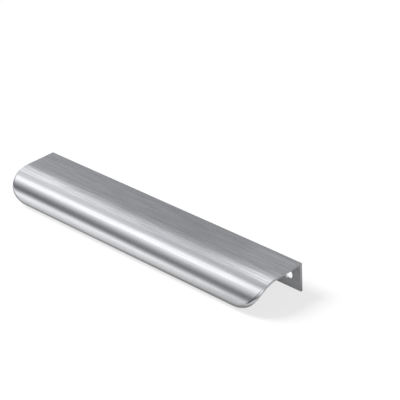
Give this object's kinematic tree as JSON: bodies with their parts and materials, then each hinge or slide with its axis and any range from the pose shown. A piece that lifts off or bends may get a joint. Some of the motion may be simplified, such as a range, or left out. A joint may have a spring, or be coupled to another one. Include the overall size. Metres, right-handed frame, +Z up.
{
  "type": "finger pull profile",
  "caption": "Brushed metal edge pull: flat web, square flange with screw holes near its ends, and a rounded finger lip with rounded corners.",
  "frame": {"origin": "middle of the length and depth, at the flange's free edge", "axes": "+X along the length, +Y from the lip towards the flange, +Z up from the flange's free edge to the web"},
  "size_m": [0.2, 0.0381, 0.0176],
  "materials": {
    "brushed_metal": "brushed"
  },
  "bodies": {
    "root": {"finger_pull_profile": "brushed_metal"}
  },
  "joints": []
}
